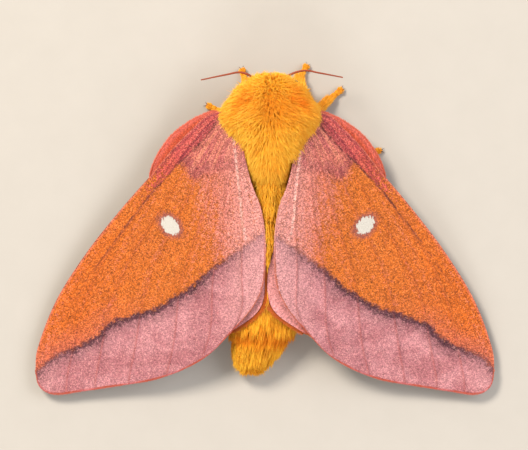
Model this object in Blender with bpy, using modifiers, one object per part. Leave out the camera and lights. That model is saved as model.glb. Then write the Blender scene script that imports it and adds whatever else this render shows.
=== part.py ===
"""Pink-striped oakworm moth, a female at rest with her wings held like a low roof, life size.

The frame is +Z up with the floor at z = 0. The head points to -Y and the moth's own left side is +X.
Every size is in metres. "out" is the distance from the moth's midline, "back" runs towards the tail
and "up" is the height above the floor.
"""

import math

import bmesh
import bpy
import numpy as np

MM = 0.001
GAP = 0.3 * MM  # between neighbouring pieces
WELD = 0.0005 * MM

# Where the moth's midline and the middle of its length lie in the frame
MIDLINE_X = -0.235 * MM
MIDDLE_Y = -0.3 * MM
SIDES = {"left": 1, "right": -1}

# Wings
WING_THICKNESS = 0.5 * MM
WING_STACK = 0.98 * MM  # the hindwing lies this much lower than the forewing
ROOF_FOOT = 0.7 * MM
ROOF_RISE = 7.4 * MM
ROOF_FALL = 8.5 * MM
ROOF_ROUND = 1.6 * MM
ROOF_SINK = 0.018  # share of the rise lost for each millimetre further back
ROOF_SINK_FROM = -8.0 * MM
BULGE = 0.6 * MM
BULGE_OUT = 10.0 * MM
BULGE_BACK = 6.0 * MM
BULGE_SPREAD = 7.0 * MM

# Outlines of the wings seen from above, as (out, back) in millimetres
FOREWING_COSTA = (
    (3.0, -10.15), (5.1, -9.65), (6.6, -8.35), (7.95, -7.0), (9.1, -5.65), (10.2, -4.3), (12.65, -1.5),
    (15.65, 2.3), (18.35, 6.55), (20.0, 10.75), (20.25, 12.9),
)
FOREWING_OUTER = (
    (20.25, 12.9), (19.85, 14.3), (18.5, 14.98), (16.0, 14.65), (12.6, 14.12),
    (9.15, 13.42), (5.4, 11.6), (2.2, 8.3),
)
FOREWING_INNER = ((2.2, -7.2), (1.5, -4.0), (0.57, -1.3), (0.18, 1.7), (0.34, 4.9), (1.05, 6.75), (2.2, 8.3))
HINDWING_COSTA = (
    (2.9, -9.4), (4.4, -9.95), (5.7, -9.6), (6.95, -8.95), (8.5, -7.75), (9.85, -5.8), (10.45, -4.0),
    (10.9, -1.5), (11.4, 2.6),
)
HINDWING_OUTER = ((11.4, 2.6), (10.8, 6.0), (8.6, 8.7), (6.0, 9.9), (3.2, 9.5))
HINDWING_INNER = (
    (2.3, -6.8), (1.7, -3.5), (1.0, 0.3), (0.45, 2.4), (0.0, 4.2), (0.05, 6.4), (0.9, 7.9), (3.2, 9.5),
)
# How near the midline each wing's inner edge comes, and how far out its tip reaches, in millimetres
FOREWING_REACH = {"left": (0.18, 20.53), "right": (0.57, 20.03)}
HINDWING_REACH = {"left": (0.3, 11.4), "right": (0.02, 11.4)}
FOREWING_VEINS = (0.1, 0.22, 0.36, 0.52, 0.68, 0.84)  # shares of the way from costa to inner edge
HINDWING_VEINS = (0.2, 0.42, 0.63, 0.83)
FOREWING_ROWS = 13
HINDWING_ROWS = 10
ROOM_COLUMNS = 8  # across the smooth sheet that clears a wing's slot
VEIN_HEIGHT = 0.16 * MM
VEIN_HALF_WIDTH = 0.3 * MM

# Body forms out to the tips of the coat: (back, half width, half height, up, shift to the left) in millimetres
THORAX = (
    (-13.2, 0.0, 0.0, 5.9, -0.3), (-12.95, 1.6, 1.3, 5.9, -0.3), (-12.3, 2.75, 2.3, 5.85, -0.3),
    (-11.1, 3.65, 3.1, 5.8, -0.25), (-10.1, 4.3, 3.6, 5.75, -0.22), (-9.2, 4.35, 3.7, 5.7, -0.2),
    (-8.3, 3.75, 3.65, 5.6, -0.2), (-7.6, 3.2, 3.5, 5.55, -0.2), (-6.5, 2.75, 3.3, 5.4, -0.25),
    (-5.3, 2.4, 3.0, 5.2, -0.3), (-4.3, 1.8, 2.4, 5.0, -0.2), (-3.6, 1.0, 1.4, 4.9, -0.2),
    (-3.25, 0.0, 0.0, 4.9, -0.2),
)
ABDOMEN = (
    (-5.0, 0.0, 0.0, 4.6, -0.2), (-4.4, 2.1, 1.8, 4.6, -0.2), (-2.5, 2.7, 2.3, 4.35, -0.2),
    (0.0, 3.05, 2.55, 3.9, -0.1), (3.0, 3.1, 2.6, 3.45, 0.05), (6.0, 3.1, 2.55, 2.95, 0.2),
    (8.5, 3.0, 2.45, 2.5, 0.4), (9.6, 2.85, 2.35, 2.35, 0.55), (10.6, 2.45, 2.05, 2.1, 0.9),
    (11.7, 1.85, 1.6, 1.8, 1.3), (12.5, 1.4, 1.2, 1.6, 1.42), (13.0, 0.8, 0.75, 1.5, 1.45),
    (13.25, 0.0, 0.0, 1.45, 1.45),
)
HEAD = (
    (-13.35, 0.0, 0.0, 3.9, -0.3), (-13.1, 1.2, 1.1, 3.9, -0.3), (-12.4, 2.15, 1.85, 3.95, -0.3),
    (-11.5, 2.5, 2.15, 4.0, -0.3), (-10.6, 2.2, 1.9, 4.1, -0.3), (-10.0, 1.3, 1.2, 4.2, -0.3),
    (-9.8, 0.0, 0.0, 4.2, -0.3),
)

# The shaggy coat: flat tapered locks in tiers round a core, with their tips at the body form's outline
LOCK_SUNK = 0.5 * MM
LOCK_THICKNESS = 0.55 * MM
# For each body form: how deep the core lies under the tips, the first and the last tier's root and the
# lie's reach there (back, in millimetres), the tiers, the lock's width and its room round the body
THORAX_COAT = (0.8 * MM, (-12.6, -0.35), (-5.0, 1.7), 7, 2.0 * MM, 2.2 * MM)
ABDOMEN_COAT = (0.75 * MM, (-3.7, 2.3), (10.7, 2.2), 8, 2.1 * MM, 2.6 * MM)
HEAD_COAT = (0.4 * MM, (-12.75, -0.35), (-11.0, 0.5), 3, 1.3 * MM, 1.9 * MM)

EYE_RADIUS = 0.9 * MM
EYE_PLACE = (1.75, -12.0, 3.75)  # out, back, up in millimetres

# Antennae as (out, back, up) in millimetres, from inside the head to the tip
ANTENNAE = {
    "left": ((1.1, -12.1, 5.0), (1.4, -12.95, 5.3), (2.4, -13.35, 5.3), (3.7, -13.15, 4.9), (5.86, -12.73, 4.0)),
    "right": ((1.1, -12.1, 5.0), (1.6, -12.95, 5.3), (3.1, -13.5, 5.3), (4.6, -13.3, 4.9), (6.6, -12.95, 4.0)),
}
ANTENNA_RADIUS = 0.26 * MM

# Legs as (out, back, up) in millimetres: inside the thorax, knee, ankle and toe
LEGS = {
    "foreleg_left": ((1.3, -9.8, 3.0), (2.9, -10.6, 2.0), (1.9, -12.35, 0.8), (2.35, -13.75, 0.33)),
    "foreleg_right": ((1.3, -9.8, 3.0), (3.2, -10.9, 2.1), (2.75, -12.8, 0.8), (3.35, -14.0, 0.33)),
    "midleg_left": ((1.6, -8.5, 2.8), (3.7, -8.2, 2.4), (3.5, -9.7, 0.85), (5.45, -10.65, 0.33)),
    "midleg_right": ((1.6, -8.5, 2.8), (3.3, -9.1, 2.6), (5.2, -10.9, 0.9), (6.65, -12.1, 0.33)),
    "hindleg_left": ((1.4, -7.2, 2.8), (4.1, -5.8, 2.9), (6.3, -5.2, 0.85), (8.7, -5.3, 0.33)),
    "hindleg_right": ((1.4, -7.2, 2.8), (4.3, -6.2, 2.9), (7.4, -6.4, 0.85), (10.15, -6.6, 0.33)),
}
FEMUR_RADIUS = 0.6 * MM
TIBIA_RADIUS = 0.46 * MM
FOOT_RADIUS = 0.4 * MM
FOOT_JOINTS = 4

# Colours as linear red, green and blue, then roughness
FUR_GOLD = ((0.90, 0.36, 0.015), 0.9)
WING_ORANGE = ((0.72, 0.20, 0.03), 0.8)
WING_ROSE = ((0.70, 0.22, 0.17), 0.8)
FEELER_RUST = ((0.42, 0.09, 0.02), 0.6)
EYE_BLACK = ((0.01, 0.007, 0.005), 0.2)


def place(out, back, up, side=1):
    """The point in the frame that lies this far out, back and up, all in metres."""
    return np.stack([side * out + MIDLINE_X, back + MIDDLE_Y, up + 0.0 * out], axis=-1)


def smooth_line(points, count):
    """Catmull-Rom curve through the points, read at even steps of its length."""
    points = np.asarray(points, float)
    padded = np.vstack([2 * points[0] - points[1], points, 2 * points[-1] - points[-2]])
    share = np.linspace(0, 1, 12, endpoint=False)[:, None]
    runs = [
        0.5 * (2 * b + (c - a) * share + (2 * a - 5 * b + 4 * c - d) * share**2 + (3 * b - a - 3 * c + d) * share**3)
        for a, b, c, d in zip(padded, padded[1:], padded[2:], padded[3:])
    ]
    line = np.vstack([*runs, points[-1:]])
    travelled = np.append(0, np.cumsum(np.linalg.norm(np.diff(line, axis=0), axis=1)))
    steps = np.linspace(0, travelled[-1], count)
    return np.column_stack([np.interp(steps, travelled, column) for column in line.T])


def material(name, look):
    """A plain Principled finish of one colour and roughness."""
    made = bpy.data.materials.get(name) or bpy.data.materials.new(name)
    made.use_nodes = True
    shader = made.node_tree.nodes["Principled BSDF"]
    colour, roughness = look
    shader.inputs["Base Color"].default_value = (*colour, 1.0)
    shader.inputs["Roughness"].default_value = roughness
    shader.inputs["Metallic"].default_value = 0.0
    return made


def new_object(name, mesh, collection):
    """An object for a finished bmesh, linked to the collection."""
    data = bpy.data.meshes.new(name)
    mesh.to_mesh(data)
    mesh.free()
    made = bpy.data.objects.new(name, data)
    collection.objects.link(made)
    return made


def loft(name, rings, collection):
    """A closed surface through a stack of rings, where a ring of no size becomes a point."""
    mesh = bmesh.new()
    stack = [[mesh.verts.new(point) for point in ring] for ring in rings]
    for low, high in zip(stack, stack[1:]):
        for i in range(len(low)):
            j = (i + 1) % len(low)
            mesh.faces.new((low[i], low[j], high[j], high[i]))
    mesh.faces.new(stack[0])
    mesh.faces.new(stack[-1])
    bmesh.ops.remove_doubles(mesh, verts=mesh.verts, dist=WELD)
    bmesh.ops.recalc_face_normals(mesh, faces=mesh.faces)
    return new_object(name, mesh, collection)


def tube(name, points, radii, sides, collection):
    """A round rod along the points, whose thickness follows the radii, closed at both ends."""
    curve = bpy.data.curves.new(name, "CURVE")
    curve.dimensions = "3D"
    curve.bevel_depth = 1.0
    curve.bevel_resolution = (sides - 4) // 2
    curve.use_fill_caps = True
    spline = curve.splines.new("POLY")
    spline.points.add(len(points) - 1)
    for knot, point, radius in zip(spline.points, points, radii):
        knot.co = (*point, 1.0)
        knot.radius = radius
    drawn = bpy.data.objects.new(name + "_line", curve)
    collection.objects.link(drawn)
    graph = bpy.context.evaluated_depsgraph_get()
    mesh = bmesh.new()
    mesh.from_mesh(bpy.data.meshes.new_from_object(drawn.evaluated_get(graph)))
    bpy.data.objects.remove(drawn)
    bmesh.ops.remove_doubles(mesh, verts=mesh.verts, dist=WELD)
    bmesh.ops.recalc_face_normals(mesh, faces=mesh.faces)
    return new_object(name, mesh, collection)


def keep_largest(thing):
    """Drops every loose scrap or sealed hollow of the mesh but its largest closed surface."""
    mesh = bmesh.new()
    mesh.from_mesh(thing.data)
    bmesh.ops.triangulate(mesh, faces=mesh.faces)
    left = set(mesh.faces)
    islands = []
    while left:
        island, edge = set(), [left.pop()]
        while edge:
            face = edge.pop()
            island.add(face)
            lines = [line for line in face.edges if len(line.link_faces) == 2]
            near = {other for line in lines for other in line.link_faces} & left
            left -= near
            edge.extend(near)
        islands.append(island)
    largest = max(islands, key=lambda island: sum(face.calc_area() for face in island))
    scraps = [face for island in islands if island is not largest for face in island]
    bmesh.ops.delete(mesh, geom=scraps, context="FACES")
    mesh.to_mesh(thing.data)
    mesh.free()


def join(body, added, removed, solver="EXACT"):
    """Fuses the added objects to the body and cuts the removed ones away from it."""
    for operation, members in (("UNION", added), ("DIFFERENCE", removed)):
        if not members:
            continue
        group = bpy.data.collections.new(operation.lower())
        bpy.context.scene.collection.children.link(group)
        for member in members:
            for home in member.users_collection:
                home.objects.unlink(member)
            group.objects.link(member)
        step = body.modifiers.new(operation.lower(), "BOOLEAN")
        step.operation = operation
        step.operand_type = "COLLECTION"
        step.collection = group
        step.solver = solver
        graph = bpy.context.evaluated_depsgraph_get()
        body.data = bpy.data.meshes.new_from_object(body.evaluated_get(graph))
        body.modifiers.clear()
        for member in members:
            bpy.data.objects.remove(member)
        bpy.data.collections.remove(group)
    keep_largest(body)
    return body


def roof_height(out, back):
    """Height of the forewing's middle layer: a low roof that falls away from the midline, with a soft bulge."""
    run = np.hypot(out, ROOF_ROUND) - ROOF_ROUND
    rise = ROOF_RISE * (1 - ROOF_SINK * np.maximum(back - ROOF_SINK_FROM, 0) / MM)
    swell = np.hypot(out - BULGE_OUT, back - BULGE_BACK) / BULGE_SPREAD
    return ROOF_FOOT + rise * np.exp(-run / ROOF_FALL) + BULGE * np.exp(-(swell**2))


def vein_columns(veins, chord, height):
    """For each chord, the shares across it where a column of points runs, three to a vein, and their lift."""
    shares, lifts = [0.0 * chord], [0.0 * chord]
    for before, vein, after in zip((0.0, *veins), veins, (*veins[1:], 1.0)):
        half = np.minimum(VEIN_HALF_WIDTH / chord, 0.3 * min(vein - before, after - vein))
        shares += [vein - half, vein + 0.0 * chord, vein + half]
        lifts += [0.0 * chord, height, 0.0 * chord]
    return np.column_stack([*shares, 1.0 + 0.0 * chord]), np.column_stack([*lifts, 0.0 * chord])


def wing_grid(costa, outer, inner, reach, veins, rows):
    """Points (out, back, lift) of a wing: a patch blended between its four edges, with rows from root to
    margin and columns from costa to inner edge. Each vein is a raised column that fades out at the root.
    Without veins the columns lie evenly."""
    front = smooth_line(np.array(costa) * MM, rows)
    rear = smooth_line(np.array(inner) * MM, rows)
    along = np.linspace(0, 1, rows)
    chord = np.linalg.norm(front - rear, axis=1)
    if veins:
        across, lift = vein_columns(veins, chord, VEIN_HEIGHT * np.clip(along / 0.35, 0, 1))
    else:
        across = np.tile(np.linspace(0, 1, ROOM_COLUMNS), (rows, 1))
        lift = 0.0 * across
    margin = smooth_line(np.array(outer) * MM, 200)
    steps = np.linspace(0, 1, len(margin))
    edge = np.stack([np.interp(across, steps, column) for column in margin.T], axis=-1)
    u, v = along[:, None, None], across[:, :, None]
    root = (1 - v) * front[0] + v * rear[0]
    corners = (1 - u) * root + u * ((1 - v) * front[-1] + v * rear[-1])
    flat = (1 - v) * front[:, None] + v * rear[:, None] + (1 - u) * root + u * edge - corners
    nearest, tip = np.array(reach) * MM
    drawn_nearest, drawn_tip = min(inner)[0] * MM, max(costa)[0] * MM
    out = nearest + (flat[..., 0] - drawn_nearest) * (tip - nearest) / (drawn_tip - drawn_nearest)
    return np.stack([out, flat[..., 1], lift], axis=-1)


def widened(grid, by):
    """The grid with its border row and column moved outwards by a distance along the sheet."""
    for axis in (0, 1):
        lines = np.moveaxis(grid, axis, 0).copy()
        for edge, inner in ((0, 1), (-1, -2)):
            step = lines[edge, :, :2] - lines[inner, :, :2]
            lines[edge, :, :2] += by * step / np.linalg.norm(step, axis=1, keepdims=True)
        grid = np.moveaxis(lines, 0, axis)
    return grid


def wing(name, side, grid, drop, grow, collection):
    """A thin wing on the grid, with both faces split into like triangles, and larger all round by grow."""
    if grow:
        grid = widened(grid, grow)
    up = roof_height(grid[..., 0], grid[..., 1]) - drop + grid[..., 2]
    rows, columns = up.shape
    mesh = bmesh.new()
    bmesh.ops.create_grid(mesh, x_segments=columns - 1, y_segments=rows - 1, size=1.0)
    bmesh.ops.triangulate(mesh, faces=mesh.faces, quad_method="FIXED")
    points = place(grid[..., 0], grid[..., 1], up, side).reshape(-1, 3)
    for vert, point in zip(mesh.verts, points):
        vert.co = point
    if side > 0:
        bmesh.ops.reverse_faces(mesh, faces=mesh.faces)
    made = new_object(name, mesh, collection)
    shell = made.modifiers.new("thickness", "SOLIDIFY")
    shell.thickness = WING_THICKNESS + 2 * grow
    shell.offset = 0.0
    graph = bpy.context.evaluated_depsgraph_get()
    made.data = bpy.data.meshes.new_from_object(made.evaluated_get(graph))
    made.modifiers.clear()
    return made


def wings(grow, collection):
    """All four wings, by name. Grown, they are smooth sheets that clear the room the wings need."""
    fore = (FOREWING_COSTA, FOREWING_OUTER, FOREWING_INNER)
    hind = (HINDWING_COSTA, HINDWING_OUTER, HINDWING_INNER)
    made = {}
    for name, side in SIDES.items():
        for kind, outline, reach, veins, rows, drop in (
            ("forewing_", fore, FOREWING_REACH[name], FOREWING_VEINS, FOREWING_ROWS, 0.0),
            ("hindwing_", hind, HINDWING_REACH[name], HINDWING_VEINS, HINDWING_ROWS, WING_STACK),
        ):
            grid = wing_grid(*outline, reach, () if grow else veins, rows)
            made[kind + name] = wing(kind + name, side, grid, drop, grow, collection)
    return made


def body_form(name, stations, grow, rings, sides, collection):
    """A rounded body through oval sections at the stations, larger all round by grow."""
    back, wide, high, up, shift = smooth_line(np.array(stations) * MM, rings).T
    around = np.linspace(0, 2 * math.pi, sides, endpoint=False)
    middle = (back[0] + back[-1]) / 2
    longer = 1 + 2 * grow / (back[-1] - back[0])
    back = middle + (back - middle) * longer
    bulk = np.sin(np.linspace(0, math.pi, rings)) > 1e-6
    wide, high = (np.where(bulk, np.maximum(size + grow, 0.3 * size), 0.0)[:, None] for size in (wide, high))
    out = shift[:, None] + wide * np.cos(around)
    heights = up[:, None] + high * np.sin(around)
    return loft(name, place(out, back[:, None] + 0.0 * out, heights), collection)


def form_point(sections, back, angle, lift):
    """A point at this angle round the body form, lifted off its surface along the outward normal."""
    wide, high, up, shift = (np.interp(back, sections[:, 0], column) for column in sections.T[1:])
    wide, high = np.maximum(wide, 0.02 * MM), np.maximum(high, 0.02 * MM)
    outward = np.stack([math.cos(angle) * high, 0.0 * back, math.sin(angle) * wide], axis=-1)
    outward /= np.linalg.norm(outward, axis=-1, keepdims=True)
    surface = place(shift + wide * math.cos(angle), back, up + high * math.sin(angle))
    lift = np.maximum(lift, -0.85 * np.minimum(wide, high))
    return surface + outward * lift[..., None], outward


def lock(name, sections, depth, root, angle, reach, width, tip_lift, collection):
    """One flat lock that leaves the core at its root, bends along the lie and tapers to its tip."""
    share = np.array([0.0, 0.35, 0.7, 1.0])
    sunk = -depth - LOCK_SUNK
    lift = sunk + (tip_lift - sunk) * share**0.45
    centre, outward = form_point(sections, root + reach * share**1.3, angle, lift)
    along = np.gradient(centre, axis=0)
    across = np.cross([0.0, 1.0, 0.0], outward)
    face = np.cross(across, along)
    face /= np.linalg.norm(face, axis=1, keepdims=True)
    half_width = 0.5 * width * np.array([0.8, 1.0, 0.75, 0.0])[:, None]
    half_thickness = 0.5 * LOCK_THICKNESS * np.array([1.0, 1.0, 0.8, 0.0])[:, None]
    wide, thick = across * half_width, face * half_thickness
    return loft(name, zip(centre + wide, centre + thick, centre - wide, centre - thick), collection)


def coat(name, stations, plan, rng, collection):
    """Locks in staggered tiers all round a body form, a little uneven as real hair is."""
    sections = smooth_line(np.array(stations) * MM, 60)
    depth, (first, first_reach), (last, last_reach), tiers, width, room = plan
    locks = []
    for tier, share in enumerate(np.linspace(0, 1, tiers)):
        back = (first + (last - first) * share) * MM
        reach = (first_reach + (last_reach - first_reach) * share) * MM
        wide, high = (np.interp(back, sections[:, 0], column) for column in sections.T[1:3])
        count = max(4, round(math.pi * (wide + high) / room))
        for i in range(count):
            angle = 2 * math.pi * (i + 0.5 * (tier % 2) + rng.uniform(-0.15, 0.15)) / count
            root = back + rng.uniform(-0.2, 0.2) * MM
            tip_lift = rng.uniform(-0.25, 0.1) * MM
            size = width * rng.uniform(0.85, 1.15)
            tag = f"{name}_{tier}_{i}"
            locks.append(lock(tag, sections, depth, root, angle, reach, size, tip_lift, collection))
    return locks


def ball(name, centre, radius, collection):
    """A round ball."""
    mesh = bmesh.new()
    bmesh.ops.create_uvsphere(mesh, u_segments=14, v_segments=9, radius=radius)
    bmesh.ops.translate(mesh, verts=mesh.verts, vec=centre)
    return new_object(name, mesh, collection)


def eyes(grow, collection):
    """Both eyes, by name."""
    out, back, up = np.array(EYE_PLACE) * MM
    shift = HEAD[0][4] * MM
    return {
        "eye_" + name: ball("eye_" + name, place(out + side * shift, back, up, side), EYE_RADIUS + grow, collection)
        for name, side in SIDES.items()
    }


def antennae(grow, collection):
    """Both antennae, slender and bare, tapering to their tips."""
    made = {}
    for name, side in SIDES.items():
        out, back, up = smooth_line(np.array(ANTENNAE[name]) * MM, 14).T
        taper = np.linspace(1.0, 0.75, 14)
        taper[-1] = 0.35
        points = place(out, back, up, side)
        made["antenna_" + name] = tube("antenna_" + name, points, taper * ANTENNA_RADIUS + grow, 8, collection)
    return made


def rounded(radius, count):
    """Radii along a limb that keeps its thickness and closes softly at both ends."""
    along = np.linspace(-1, 1, count)
    return radius * np.sqrt(1 - 0.65 * along**6)


def leg(name, grow, collection):
    """One leg: a stout thigh and shin, then a foot of small joints that widens to its toe."""
    side = SIDES[name.split("_")[1]]
    root, knee, ankle, toe = np.array(LEGS[name]) * MM
    thigh = np.linspace(root, knee, 5)
    shin = np.linspace(knee, ankle, 5)
    heel = ankle * [1, 1, 0] + [0, 0, toe[2] + 0.12 * MM]
    foot = smooth_line([ankle, 0.55 * heel + 0.45 * toe, toe], 2 * FOOT_JOINTS + 2)
    beads = np.resize((0.95, 0.72), len(foot))
    beads[-2:] = (1.05, 0.7)
    parts = []
    for tag, line, radii in (
        ("_thigh", thigh, rounded(FEMUR_RADIUS, 5)),
        ("_shin", shin, rounded(TIBIA_RADIUS, 5)),
        ("_foot", foot, beads * FOOT_RADIUS),
    ):
        points = place(line[:, 0], line[:, 1], line[:, 2], side)
        parts.append(tube(name + tag, points, radii + grow, 8, collection))
    return parts


def floor_block(collection):
    """A slab under the floor, to cut the undersides flat."""
    mesh = bmesh.new()
    bmesh.ops.create_cube(mesh, size=1.0)
    bmesh.ops.scale(mesh, verts=mesh.verts, vec=(0.1, 0.1, 0.01))
    bmesh.ops.translate(mesh, verts=mesh.verts, vec=(0, 0, -0.005))
    return new_object("below_floor", mesh, collection)


def finish(thing, name, finish_name, look):
    """Names a node, gives it its finish and shades it smooth where it is round."""
    thing.name = name
    thing.data.name = name
    thing.data.materials.clear()
    thing.data.materials.append(material(finish_name, look))
    thing.data.shade_smooth()
    thing.data.set_sharp_from_angle(angle=math.radians(50))


def build():
    """The whole moth, one object for each named part."""
    for old in list(bpy.data.objects):
        bpy.data.objects.remove(old)
    moth = bpy.data.collections.new("oakworm_moth")
    bpy.context.scene.collection.children.link(moth)

    for name, made in wings(0.0, moth).items():
        finish(made, name, *(("forewing", WING_ORANGE) if name.startswith("fore") else ("hindwing", WING_ROSE)))
    for name, made in eyes(0.0, moth).items():
        finish(made, name, "eye", EYE_BLACK)
    for name, made in antennae(0.0, moth).items():
        finish(made, name, "antenna", FEELER_RUST)
    for name in LEGS:
        thigh, shin, foot = leg(name, 0.0, moth)
        finish(join(thigh, [shin, foot], [floor_block(moth)]), name, "leg_fur", FUR_GOLD)

    rng = np.random.default_rng(31)
    head = body_form("head_form", HEAD, -HEAD_COAT[0], 13, 20, moth)
    join(head, coat("head_lock", HEAD, HEAD_COAT, rng, moth), [], "MANIFOLD")
    foreleg_room = [piece for name in LEGS if name.startswith("fore") for piece in leg(name, GAP, moth)]
    join(head, [], [*eyes(GAP, moth).values(), *antennae(GAP, moth).values(), *foreleg_room], "MANIFOLD")
    finish(head, "head", "fur", FUR_GOLD)

    thorax = body_form("thorax_form", THORAX, -THORAX_COAT[0], 15, 22, moth)
    join(thorax, coat("thorax_lock", THORAX, THORAX_COAT, rng, moth), [], "MANIFOLD")
    sockets = [piece for name in LEGS for piece in leg(name, GAP, moth)]
    head_room = body_form("head_room", HEAD, GAP, 13, 20, moth)
    eye_room = [*eyes(GAP, moth).values(), *antennae(GAP, moth).values()]
    join(thorax, [], [*wings(GAP, moth).values(), head_room, *eye_room, *sockets], "MANIFOLD")
    finish(thorax, "thorax", "fur", FUR_GOLD)

    abdomen = body_form("abdomen_form", ABDOMEN, -ABDOMEN_COAT[0], 19, 20, moth)
    join(abdomen, coat("abdomen_lock", ABDOMEN, ABDOMEN_COAT, rng, moth), [], "MANIFOLD")
    thorax_room = body_form("thorax_room", THORAX, GAP, 17, 28, moth)
    rear_sockets = [piece for name in LEGS if name.startswith("hind") for piece in leg(name, GAP, moth)]
    join(abdomen, [], [*wings(GAP, moth).values(), thorax_room, *rear_sockets, floor_block(moth)], "MANIFOLD")
    finish(abdomen, "abdomen", "fur", FUR_GOLD)


build()
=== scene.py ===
"""Looks of the pink-striped oakworm moth: fine wings, skin, long fur, furred legs, feelers and eyes."""

import math

import bpy
import numpy as np
from mathutils.kdtree import KDTree
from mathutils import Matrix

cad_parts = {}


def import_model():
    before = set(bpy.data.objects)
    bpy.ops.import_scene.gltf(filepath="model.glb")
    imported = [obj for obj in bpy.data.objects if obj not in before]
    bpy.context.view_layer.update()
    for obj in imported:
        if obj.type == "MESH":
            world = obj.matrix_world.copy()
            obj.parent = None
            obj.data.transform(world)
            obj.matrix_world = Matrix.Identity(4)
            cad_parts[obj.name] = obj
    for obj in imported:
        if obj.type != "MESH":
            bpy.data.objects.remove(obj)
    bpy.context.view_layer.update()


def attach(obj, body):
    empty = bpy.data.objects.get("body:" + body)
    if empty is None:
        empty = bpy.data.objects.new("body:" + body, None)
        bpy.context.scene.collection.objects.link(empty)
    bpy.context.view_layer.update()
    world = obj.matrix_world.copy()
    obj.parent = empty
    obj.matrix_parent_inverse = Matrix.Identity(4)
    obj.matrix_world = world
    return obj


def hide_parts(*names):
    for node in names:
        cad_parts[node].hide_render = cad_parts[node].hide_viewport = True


MM = 0.001

# The photograph's view: looking straight down, with the moth's head up and its left side on the left
IMAGE = (528, 450)
MM_PER_PIXEL = 0.0875
MIDLINE_PIXEL = (265.0, 228.5)
CAMERA_HEIGHT = 0.405
FOCUS_HEIGHT = 0.005

MIDLINE_X = -0.235 * MM
MIDDLE_Y = -0.3 * MM
SIDES = {"left": 1, "right": -1}

# Wings: the solids' own roof, outlines and veins
WING_STACK = 0.98 * MM
ROOF_FOOT = 0.7 * MM
ROOF_RISE = 7.4 * MM
ROOF_FALL = 8.5 * MM
ROOF_ROUND = 1.6 * MM
ROOF_SINK = 0.018
ROOF_SINK_FROM = -8.0 * MM
BULGE = 0.6 * MM
BULGE_OUT = 10.0 * MM
BULGE_BACK = 6.0 * MM
BULGE_SPREAD = 7.0 * MM
FOREWING_COSTA = (
    (3.0, -10.15), (5.1, -9.65), (6.6, -8.35), (7.95, -7.0), (9.1, -5.65), (10.2, -4.3), (12.65, -1.5),
    (15.65, 2.3), (18.35, 6.55), (20.0, 10.75), (20.25, 12.9),
)
FOREWING_OUTER = (
    (20.25, 12.9), (19.85, 14.3), (18.5, 14.98), (16.0, 14.65), (12.6, 14.12),
    (9.15, 13.42), (5.4, 11.6), (2.2, 8.3),
)
FOREWING_INNER = (
    (2.2, -7.2), (1.5, -4.0), (0.57, -1.3), (0.18, 1.7), (0.34, 4.9), (1.05, 6.75), (2.2, 8.3),
)
HINDWING_COSTA = (
    (2.9, -9.4), (4.4, -9.95), (5.7, -9.6), (6.95, -8.95), (8.5, -7.75), (9.85, -5.8), (10.45, -4.0),
    (10.9, -1.5), (11.4, 2.6),
)
HINDWING_OUTER = ((11.4, 2.6), (10.8, 6.0), (8.6, 8.7), (6.0, 9.9), (3.2, 9.5))
HINDWING_INNER = (
    (2.3, -6.8), (1.7, -3.5), (1.0, 0.3), (0.45, 2.4), (0.0, 4.2), (0.05, 6.4), (0.9, 7.9), (3.2, 9.5),
)
FOREWING = (FOREWING_COSTA, FOREWING_OUTER, FOREWING_INNER)
HINDWING = (HINDWING_COSTA, HINDWING_OUTER, HINDWING_INNER)
FOREWING_REACH = {"left": (0.18, 20.53), "right": (0.57, 20.03)}
HINDWING_REACH = {"left": (0.3, 11.4), "right": (0.02, 11.4)}
FOREWING_VEINS = (0.1, 0.22, 0.36, 0.52, 0.68, 0.84)
HINDWING_VEINS = (0.2, 0.42, 0.63, 0.83)
VEIN_HEIGHT = 0.16 * MM
SHEET_AT_ROOT = 0.3 * MM
SHEET_AT_EDGE = 0.1 * MM
RIPPLE = 0.05 * MM
CURL = 0.35 * MM  # how far the hindwing's inner edge stands up
WING_LENGTH = 24.0  # millimetres, for distances read off the sheet's two parameters
FOREWING_CHORD = 22.0
HINDWING_CHORD = 14.0
FRINGE_ROOT = 0.12  # millimetres of a fringe scale inside the wing's edge, so that it joins
FRINGE_WIDTH = 0.06 * MM

# Patterns, in millimetres. A wing scale is about 0.1 long and 0.05 wide, and an eye's facet 0.03 across.
# They are drawn as coarse as they need to be to show in the view
SPECK = 0.075
SCALE = 0.13
FACET = 0.07

LOWEST = 0.03 * MM  # height above the floor of the lowest hair and claws
TURN = 2 * math.pi

# Markings of the forewing, as (out, back) in millimetres
DARK_LINE = (
    (1.0, 1.1), (1.62, 1.6), (3.2, 2.75), (4.7, 3.8), (5.8, 4.75), (6.7, 5.65), (8.1, 6.4), (9.6, 7.4),
    (11.2, 7.82), (12.7, 8.35), (13.9, 8.75), (14.6, 9.45), (15.1, 9.95), (16.6, 10.75), (17.6, 11.15),
    (18.7, 11.6), (19.9, 12.6), (21.0, 13.6),
)
BASE_LINE = ((8.6, -7.2), (7.15, -5.5), (6.35, -4.35), (5.55, -4.75), (3.8, -5.05), (2.0, -5.3), (0.0, -5.5))
ROSE_LINE = ((7.6, -8.0), (6.3, -5.0), (5.4, -1.0), (4.3, 3.0), (3.6, 5.5))
GROOVE_LINE = (
    (3.2, -10.2), (4.1, -9.4), (4.7, -8.6), (5.4, -7.7), (6.33, -6.74), (7.47, -5.69), (8.25, -4.9),
    (9.57, -3.5), (10.7, -2.19), (13.94, 2.09), (16.6, 5.9), (18.6, 9.4),
)
PALE_VEIN = ((2.95, -7.5), (2.83, -6.1), (2.45, -3.0), (2.25, -0.54), (1.93, 1.26))
THIN_VEIN = ((6.0, -4.0), (5.25, -0.85), (4.35, 2.6))
SPOT = (8.55, 0.04)
RAYS = ((33, 1.7, 2.2), (61, 2.1, 0.3), (97, 3.3, 1.9), (149, 2.7, 4.0))

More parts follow.
